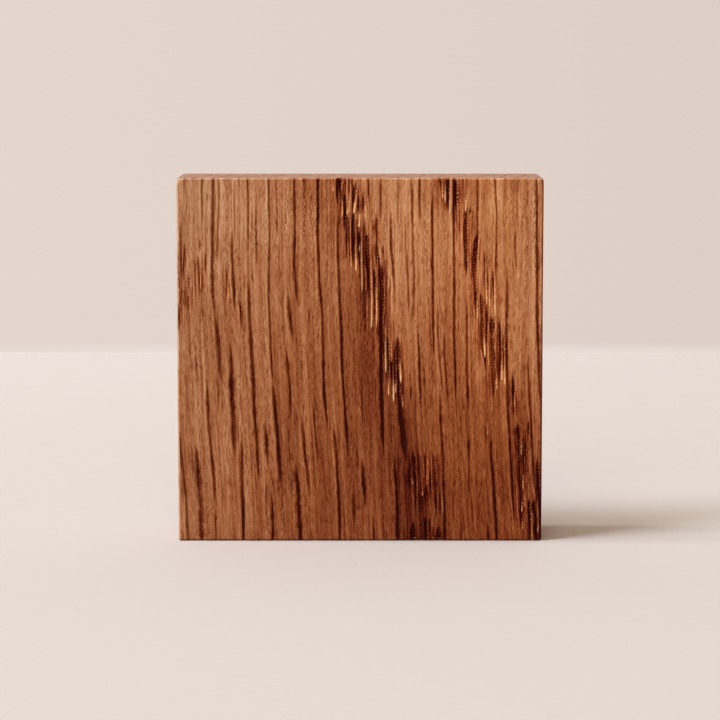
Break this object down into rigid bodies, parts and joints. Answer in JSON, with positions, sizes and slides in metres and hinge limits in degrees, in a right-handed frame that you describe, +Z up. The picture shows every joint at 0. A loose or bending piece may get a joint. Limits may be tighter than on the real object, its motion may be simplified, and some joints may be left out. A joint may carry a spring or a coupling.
{
  "type": "wood sample block",
  "caption": "Square upright block of open-grained oak with worn furrows, torn grain and eased edges, to show or test the timber.",
  "frame": {"origin": "middle of the foot, on the surface that the block stands on", "axes": "+Z up along the grain, -Y out of the wide show face, +X to the right as that face is looked at"},
  "size_m": [0.1, 0.025, 0.1],
  "materials": {
    "oak": "raw oak with worn open grain, warm brown, pale tan at the head to dark brown at the foot"
  },
  "bodies": {
    "root": {"wood_block": "oak"}
  },
  "joints": []
}
